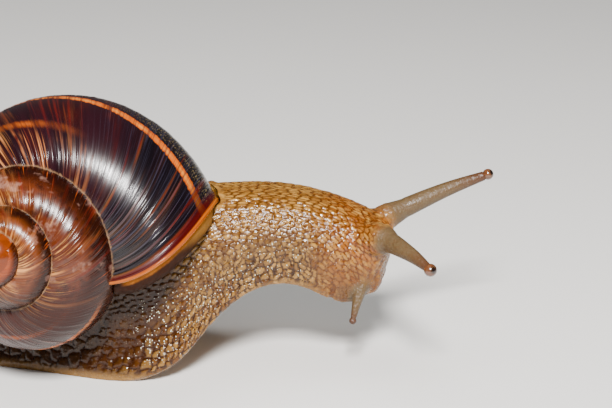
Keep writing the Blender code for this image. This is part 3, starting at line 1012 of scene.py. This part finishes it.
# %% Reading the coil map
shell_finish, tree, shader = new_material(
    "banded shell", Metallic=0.0, Coat_Roughness=0.26, Specular_IOR_Level=0.3
)
coil = tree.nodes.new("ShaderNodeUVMap")
coil.uv_map = "coil"
parts = add_node(tree, "ShaderNodeSeparateXYZ", Vector=coil.outputs["UV"])
along = parts.outputs["X"]
round_tube = parts.outputs["Y"]


def across(degrees):
    """Where an angle lies across the coil map."""
    return degrees / 360 + 0.5


def by_turn(start, end, low=0.0, high=1.0):
    """A soft step between two turns of the coil."""
    return between(along, WHORL_GROWTH**start, WHORL_GROWTH**end, low, high)


def by_angle(start, end, low=0.0, high=1.0):
    """A soft step between two angles round the tube, in degrees."""
    return between(round_tube, across(start), across(end), low, high)


print("coil map read")

# %% [markdown]
# Streaks run along the old mouths: noise that is drawn out along the growth lines. Blotches
# lie anywhere, and the shell is darker low down, where it shades itself.

# %% Streaks, blotches and light
DARK_BELOW = 0.013  # metres above the floor
LIT_ABOVE = 0.023


def streaks(along_scale, across_scale, detail, shift=0.0):
    """Noise drawn out along the growth lines."""
    way = calc("MULTIPLY", along, along_scale)
    side = calc("MULTIPLY", round_tube, across_scale)
    vector = add_node(tree, "ShaderNodeCombineXYZ", X=way, Y=side, Z=shift)
    return noise(vector.outputs["Vector"], 1.0, detail, 0.6)


def height_of(spot):
    return add_node(spot.id_data, "ShaderNodeSeparateXYZ", Vector=spot).outputs["Z"]


wide_streaks = streaks(30.0, 2.0, 3.0)
fine_streaks = streaks(230.0, 3.0, 3.0, 4.0)
hair_lines = streaks(700.0, 5.0, 2.0, 9.0)
patches = streaks(60.0, 9.0, 3.0, 2.0)
spot = spot_in(tree)
lit_side = between(height_of(spot), DARK_BELOW, LIT_ABOVE)
blotches = noise(spot, 230.0, 4.0, 0.65)
print("streaks and blotches with", len(tree.nodes), "nodes")

# %% [markdown]
# The whorls darken with age, from an orange apex over red-brown to nearly black. Each
# colour is laid over those before it from its own turn on.

# %% The shell's colours, whorl by whorl
young = by_turn(-2.75, -2.3)
grown = by_turn(-1.0, -0.72)
last_grown = by_turn(-0.2, -0.06, 0.0, 0.85)
mottled = times(between(blotches, 0.5, 0.62), by_turn(-0.8, -0.95), by_turn(-2.6, -2.0, 0.3, 0.75))
base_colour = paint(
    tint(126, 54, 2),
    (young, tint(90, 44, 14)),
    (by_turn(-2.0, -1.3), tint(74, 34, 14)),
    (grown, tint(50, 18, 14)),
    (by_turn(-0.7, -0.45), tint(34, 14, 20)),
    (times(between(wide_streaks, 0.42, 0.62, 0.0, 0.8), grown), tint(14, 8, 13)),
    (between(patches, 0.4, 0.7, 0.0, 0.5), tint(52, 16, 10)),
    (last_grown, tint(11, 9, 14)),
    (mottled, tint(36, 16, 8)),
)
print("whorl colours set")

# %% [markdown]
# Thin red and orange lines lie along the old mouths. Pale streaks and cream show near the
# seam, where the dark outer layer of the shell is worn thin.

# %% Streaks and worn places
near_seam = by_angle(36, 72)
upper_whorls = by_turn(-0.72, -0.85)
# Painted shade: the outer part of each upper whorl, from the widest place down, is painted darker.
shaded_side = times(by_angle(46, 18, 0.0, 0.88), upper_whorls)
red = times(between(fine_streaks, 0.52, 0.68), between(wide_streaks, 0.3, 0.6), 0.6)
aging = by_turn(-0.6, -0.12, 1.0, 0.12)
orange = times(between(hair_lines, 0.6, 0.74), between(patches, 0.42, 0.6), aging, 0.7)
worn = times(between(wide_streaks, 0.5, 0.66), between(fine_streaks, 0.46, 0.6))
worn = times(worn, calc("MULTIPLY_ADD", near_seam, 0.8, 0.2), by_turn(-0.3, -0.04, 1.0, 0.25))
cream = times(by_angle(38, 60), between(fine_streaks, 0.5, 0.62), between(patches, 0.36, 0.56))
cream = times(cream, by_turn(-0.12, -0.26, 0.0, 0.8), by_turn(-0.5, -0.4))
streaked = paint(
    base_colour,
    # painted shade on each upper whorl's outer part
    (shaded_side, tint(20, 6, 2)),
    (red, tint(92, 24, 12)),
    (orange, tint(180, 78, 24)),
    (worn, tint(190, 126, 70)),
    (cream, tint(172, 108, 66)),
)
print("streaks set")

# %% [markdown]
# Near the mouth there are blue-grey lines, and pale flecks below the pale band. The upper
# whorls have pale lines near the seam and rubbed places, painted paler only on their lit
# upper side, and their low side is painted darker as shade.

# %% Lines, flecks and rubbed places
blue_lines = times(between(hair_lines, 0.5, 0.64), last_grown, 0.5)
pale_lines = times(between(hair_lines, 0.5, 0.66), between(patches, 0.45, 0.6), near_seam)
pale_lines = times(pale_lines, upper_whorls, young, 0.65)
# Rubbed patches of wear, painted only on the lit upper side: partly wear, partly painted light.
rubbed_and_lit = times(between(blotches, 0.46, 0.34), upper_whorls, young, lit_side, 0.45)
flecks = times(between(streaks(1300.0, 90.0, 2.0, 6.0), 0.54, 0.68), last_grown)
# Painted shade: the upper whorls are painted darker low down, away from the light.
painted_low_shade = times(between(lit_side, 0.0, 1.0, 0.85, 0.0), upper_whorls)
streaked = paint(
    streaked,
    (blue_lines, tint(46, 44, 58)),
    (pale_lines, tint(190, 136, 72)),
    (rubbed_and_lit, tint(150, 112, 98)),
    (times(flecks, by_angle(2.5, -5), 0.8), tint(128, 108, 70)),
    (painted_low_shade, tint(40, 14, 5)),
)
print("lines and flecks set")

# %% [markdown]
# A pale band runs along the coil round the widest place, and a fainter one above it on the
# last whorl. Dark growth lines cross them slantwise. The seam between the whorls is a thin,
# uneven line of grey chalk.

# %% Bands and seam
MAIN_BAND = 6.2  # degrees round the tube
BAND_CORE = 6.6
UPPER_BAND = 43.0
SEAM = 74.0


def band(centre, half_width, edge):
    """1 inside a spiral band and 0 outside it; all three angles in degrees."""
    off = calc("ABSOLUTE", calc("SUBTRACT", round_tube, across(centre)))
    off = calc("ADD", off, calc("MULTIPLY_ADD", hair_lines, 0.008, -0.004))
    return between(off, (half_width + edge) / 360, (half_width - edge) / 360)


ticks = times(between(fine_streaks, 0.64, 0.5, 0.25, 1.0), between(hair_lines, 0.68, 0.48, 0.4, 1.0))
main_band = times(band(MAIN_BAND, 3.4, 0.7), ticks)
main_band = times(main_band, by_turn(-0.9, -0.8), by_turn(-0.045, -0.014, 1.0, 0.2))
band_colour = blend(wide_streaks, tint(186, 92, 14), tint(146, 54, 4))
band_core = times(band(BAND_CORE, 1.3, 1.2), between(patches, 0.35, 0.6), 0.6)
upper_band = times(band(UPPER_BAND, 2.4, 2.4), ticks, between(patches, 0.34, 0.52, 0.3, 1.0))
upper_band = times(upper_band, by_turn(-0.27, -0.17, 0.75, 0.0), by_turn(-0.85, -0.72, 0.04, 1.0))
seam_edge = calc("MULTIPLY_ADD", hair_lines, 0.012, across(SEAM))
seam = between(calc("SUBTRACT", round_tube, seam_edge), -0.001, 0.004)
seam = times(seam, by_turn(-2.9, -2.4), between(patches, 0.3, 0.6, 0.35, 0.85))
banded = paint(
    streaked,
    (main_band, blend(band_core, band_colour, tint(206, 132, 46))),
    (upper_band, tint(150, 70, 16)),
    (seam, tint(124, 96, 70)),
)
print("bands at", MAIN_BAND, "and", UPPER_BAND, "degrees, seam at", SEAM)

# %% [markdown]
# The mouth has a thick orange lip with a thin pale edge, and the shell is dark red just
# before it. The shell shines like polished horn, and bump adds the finest growth lines.


# %% Lip and polish
def use_bump(shader, height, distance, strength):
    tree = shader.id_data
    bump = add_node(tree, "ShaderNodeBump", Height=height, Distance=distance, Strength=strength)
    fill(shader, Normal=bump.outputs["Normal"])


lip_colour = blend(between(fine_streaks, 0.4, 0.62), tint(126, 56, 4), tint(176, 92, 12))
colour = paint(
    banded,
    (by_turn(-0.014, -0.0085, 0.0, 0.8), tint(60, 10, 8)),
    (by_turn(-0.0052, -0.0036), lip_colour),
    (by_turn(0.0002, 0.001, 0.0, 0.8), tint(206, 176, 136)),
)
coated = times(by_turn(-0.03, -0.01, 0.4, 0.0), lit_side, between(shaded_side, 0.0, 0.6, 1.0, 0.2))
rough = between(hair_lines, 0.3, 0.75, 0.12, 0.32)
fill(shader, Base_Color=colour, Coat_Weight=coated, Roughness=rough)
use_bump(shader, calc("MULTIPLY_ADD", hair_lines, 0.5, fine_streaks), 0.17 * MM, 1.0)
shell.data.materials.clear()
shell.data.materials.append(shell_finish)
print("shell finish with", len(tree.nodes), "nodes")

# %% [markdown]
# ## The finish of the skin
#
# The skin is tan on the back, more orange on the head and darker down the flank. Warts are
# paler than the grooves between them. Light goes a little way into wet flesh, which the
# shader's subsurface setting gives.

# %% The skin's colours
skin_finish, tree, shader = new_material(
    "wet skin",
    Metallic=0.0,
    Subsurface_Weight=0.1,
    Subsurface_Scale=0.6 * MM,
    Subsurface_Radius=(1.0, 0.5, 0.25),
    Coat_Roughness=0.1,
    Specular_IOR_Level=0.32,
)


def attribute(tree, name):
    """The number that was stored for each point under this name."""
    made = tree.nodes.new("ShaderNodeAttribute")
    made.attribute_name = name
    return made.outputs["Fac"]


spot = spot_in(tree)
wart, tone, body_height, headward, shade, tentacle = [
    attribute(tree, name) for name in ("wart", "tone", "height", "headward", "shade", "tentacle")
]
clouds = noise(spot, 55.0, 3.0)
ground = paint(
    tint(62, 42, 18),
    (between(body_height, 0.1, 0.5), tint(74, 49, 22)),
    (between(body_height, 0.5, 0.85), tint(128, 88, 36)),
    (headward, tint(134, 72, 16)),
    (between(noise(spot, 150.0, 3.0), 0.35, 0.65, 0.0, 0.55), tint(70, 38, 10)),
    (between(clouds, 0.42, 0.62, 0.0, 0.4), tint(104, 54, 12)),
)
groove_colour = blend(between(body_height, 0.3, 0.7), tint(30, 16, 5), tint(60, 32, 8))
groove_colour = blend(headward, groove_colour, tint(72, 36, 8))
top_of_wart = blend(times(tone, 0.6), ground, tint(172, 130, 66))
warty_skin = blend(between(wart, 0.12, 0.9), blend(0.8, ground, groove_colour), top_of_wart)
print("skin colours with", len(tree.nodes), "nodes")

# %% [markdown]
# The snout is browner. Under the mouth of the shell a dark brown shade is painted on the skin,
# the edge of the foot is pale, and beside the upper whorls the skin lies in a smooth, pale
# fold. The tentacles are grey, and brown towards their ends.

# %% Snout, edge, fold and tentacles
tip_amount = between(attribute(tree, "tip"), 0.45, 1.0)
skin_colour = paint(
    warty_skin,
    (times(headward, between(body_height, 0.62, 0.3), 0.5), tint(82, 48, 12)),
    # painted shade under the mouth of the shell
    (times(shade, 0.92), tint(38, 19, 4)),
    (times(attribute(tree, "lobe"), 0.55), tint(66, 48, 30)),
    (times(attribute(tree, "margin"), 0.5), tint(156, 116, 64)),
    (times(attribute(tree, "fold"), 0.8), tint(128, 86, 38)),
    (tentacle, blend(tip_amount, tint(82, 66, 44), tint(68, 40, 24))),
    (between(noise(spot, 1500.0, 2.0), 0.35, 0.7, 0.0, 0.25), tint(70, 42, 22)),
)
print("skin colours finished")

# %% [markdown]
# Slime stands in fine drops on the warts, most of all low on the neck. Each drop is smoother
# and raised, so it mirrors the lamp, and a near-white painted glint is laid on it as well.
# Under the shell the skin is drier.

# %% Drops of slime
DROP_SCALE = 3000.0  # cells in a metre

drop_cells = add_node(tree, "ShaderNodeTexVoronoi", Vector=spot, Scale=DROP_SCALE)
cell_colour = add_node(tree, "ShaderNodeSeparateColor", Color=drop_cells.outputs["Color"])
chance = between(cell_colour.outputs["Red"], 0.5, 0.56)
wet_place = between(attribute(tree, "wet"), 0.0, 1.0, 0.04, 1.0)
drop_and_glint = times(between(drop_cells.outputs["Distance"], 0.36, 0.16), between(wart, 0.3, 0.6))
drop_and_glint = times(drop_and_glint, chance, wet_place, between(clouds, 0.4, 0.5, 0.1, 1.0))
# Painted glints: the base colour of each drop is laid near-white.
fill(shader, Base_Color=blend(times(drop_and_glint, 0.85), skin_colour, tint(244, 246, 226)))
print("drops", round(1 / DROP_SCALE / MM, 2), "mm apart")

# %% [markdown]
# The shared film of slime makes the skin rough or smooth, and bump raises pores and drops.


# %% Wet and dry skin
def use_slime(tree, scale, wetness):
    """The height and the roughness of the shared film of slime."""
    made = tree.nodes.new("ShaderNodeGroup")
    made.node_tree = slime
    fill(made, Scale=scale, Wetness=wetness)
    return made.outputs["Height"], made.outputs["Roughness"]


pore_height, pore_roughness = use_slime(tree, 3000.0, 0.8)
rough = calc("ADD", pore_roughness, times(tentacle, 0.3))
rough = calc("MAXIMUM", calc("SUBTRACT", rough, times(drop_and_glint, 0.22)), 0.05)
fill(shader, Roughness=rough, Coat_Weight=between(shade, 0.0, 0.5, 0.15, 0.0))
rougher = between(body_height, 0.75, 0.45, 1.0, 1.5)
film = calc("MULTIPLY_ADD", drop_and_glint, 1.6, times(pore_height, rougher))
film = times(film, between(shade, 0.0, 0.8, 1.0, 0.25))
use_bump(shader, film, 0.11 * MM, 0.9)
skin.data.materials.clear()
skin.data.materials.append(skin_finish)
print("skin finish with", len(tree.nodes), "nodes")

# %% [markdown]
# ## The finish of collar and eyes
#
# The collar is painted dark brown as shade where the shell shades it, and painted lighter at
# the top where the light reaches it. Where it lies against the lip its rim is orange-brown.

# %% Collar material
collar_finish, tree, shader = new_material(
    "mantle edge", Subsurface_Weight=0.05, Subsurface_Scale=0.5 * MM, Specular_IOR_Level=0.12
)
spot = spot_in(tree)
mottle = noise(spot, 420.0, 3.0)
colour = paint(
    # painted shade over the whole collar, and painted light at its top
    tint(38, 19, 5),
    (between(height_of(spot), 0.021, 0.024), tint(142, 98, 44)),
    (times(mottle, 0.4), tint(52, 26, 8)),
    (times(attribute(tree, "rim"), 0.95), blend(mottle, tint(116, 62, 12), tint(164, 98, 28))),
)
pore_height, pore_roughness = use_slime(tree, 2600.0, 0.0)
fill(shader, Base_Color=colour, Roughness=calc("ADD", pore_roughness, 0.3))
use_bump(shader, pore_height, 0.05 * MM, 0.7)
collar.data.materials.append(collar_finish)
print("collar finish with", len(tree.nodes), "nodes")

# %% [markdown]
# The knob's skin is clear enough for the dark eye to show through, which a dark spot with
# a soft edge gives without any glass.

# %% Eye material
eye_finish, tree, shader = new_material(
    "eye knob", Subsurface_Weight=0.15, Subsurface_Scale=0.4 * MM, Coat_Weight=0.8, Coat_Roughness=0.04
)
knob_colour = blend(noise(spot_in(tree), 1500.0, 2.0), tint(70, 40, 22), tint(104, 66, 40))
knob_colour = blend(attribute(tree, "pupil"), knob_colour, tint(22, 12, 8))
eye_height, eye_roughness = use_slime(tree, 4200.0, 0.8)
fill(shader, Base_Color=knob_colour, Roughness=eye_roughness)
use_bump(shader, eye_height, 0.02 * MM, 0.5)
for eye in eyes:
    eye.data.materials.append(eye_finish)
print("materials", [m.name for m in (shell_finish, skin_finish, collar_finish, eye_finish)])

# %% [markdown]
# ## Floor and light
#
# A plain pale floor and soft lamps, as in a studio. The main lamp stands high in front,
# where the glints in the photo put the daylight, and is small enough to leave clear glints
# on wet skin. The other two only fill the shadows and leave no glints.

# %% Floor, lamps and surroundings
bpy.ops.mesh.primitive_plane_add(size=6.0, location=(0.0, 0.0, cad_box[0].z))
floor = bpy.context.object
floor.name = "floor"
floor_finish = new_material("studio floor", Base_Color=tint(216, 214, 210), Roughness=0.8)[0]
floor.data.materials.append(floor_finish)


def add_lamp(name, place, target, size, power, colour=(1.0, 1.0, 1.0)):
    """A square lamp that shines from one place towards another, both in millimetres."""
    start = Vector(place) * MM
    direction = Vector(target) * MM - start
    turned = direction.to_track_quat("-Z", "Y").to_euler()
    bpy.ops.object.light_add(type="AREA", location=start, rotation=turned)
    lamp = bpy.context.object
    lamp.name = name
    lamp.data.size = size * MM
    lamp.data.energy = power
    lamp.data.color = colour
    return lamp


key_lamp = add_lamp("key lamp", (30, -280, 290), (10, -10, 20), 75, 5.2, (1.0, 0.98, 0.97))
top_lamp = add_lamp("top lamp", (-60, 60, 420), (15, 0, 15), 240, 0.8)
side_lamp = add_lamp("side lamp", (330, -120, 160), (25, 0, 20), 180, 0.4, (0.95, 0.98, 1.0))
for lamp in (top_lamp, side_lamp):
    lamp.visible_glossy = False
world = bpy.data.worlds.new("studio")
bpy.context.scene.world = world
world.use_nodes = True
fill(world.node_tree.nodes["Background"], Color=(0.86, 0.88, 0.9, 1.0), Strength=0.12)
print("lamps", [lamp.name for lamp in (key_lamp, top_lamp, side_lamp)])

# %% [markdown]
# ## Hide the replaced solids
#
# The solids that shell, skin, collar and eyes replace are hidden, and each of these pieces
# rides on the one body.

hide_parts("shell_spire", "shell_body_whorl", "shell_lip")
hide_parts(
    *FLESH,
    "upper_tentacle_right",
    "upper_tentacle_left",
    "lower_tentacle_right",
    "lower_tentacle_left",
)
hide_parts("mantle_collar")
for eye, side in zip(eyes, ("right", "left")):
    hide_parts(f"eye_{side}")
for piece in (shell, skin, collar, *eyes):
    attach(piece, "root")
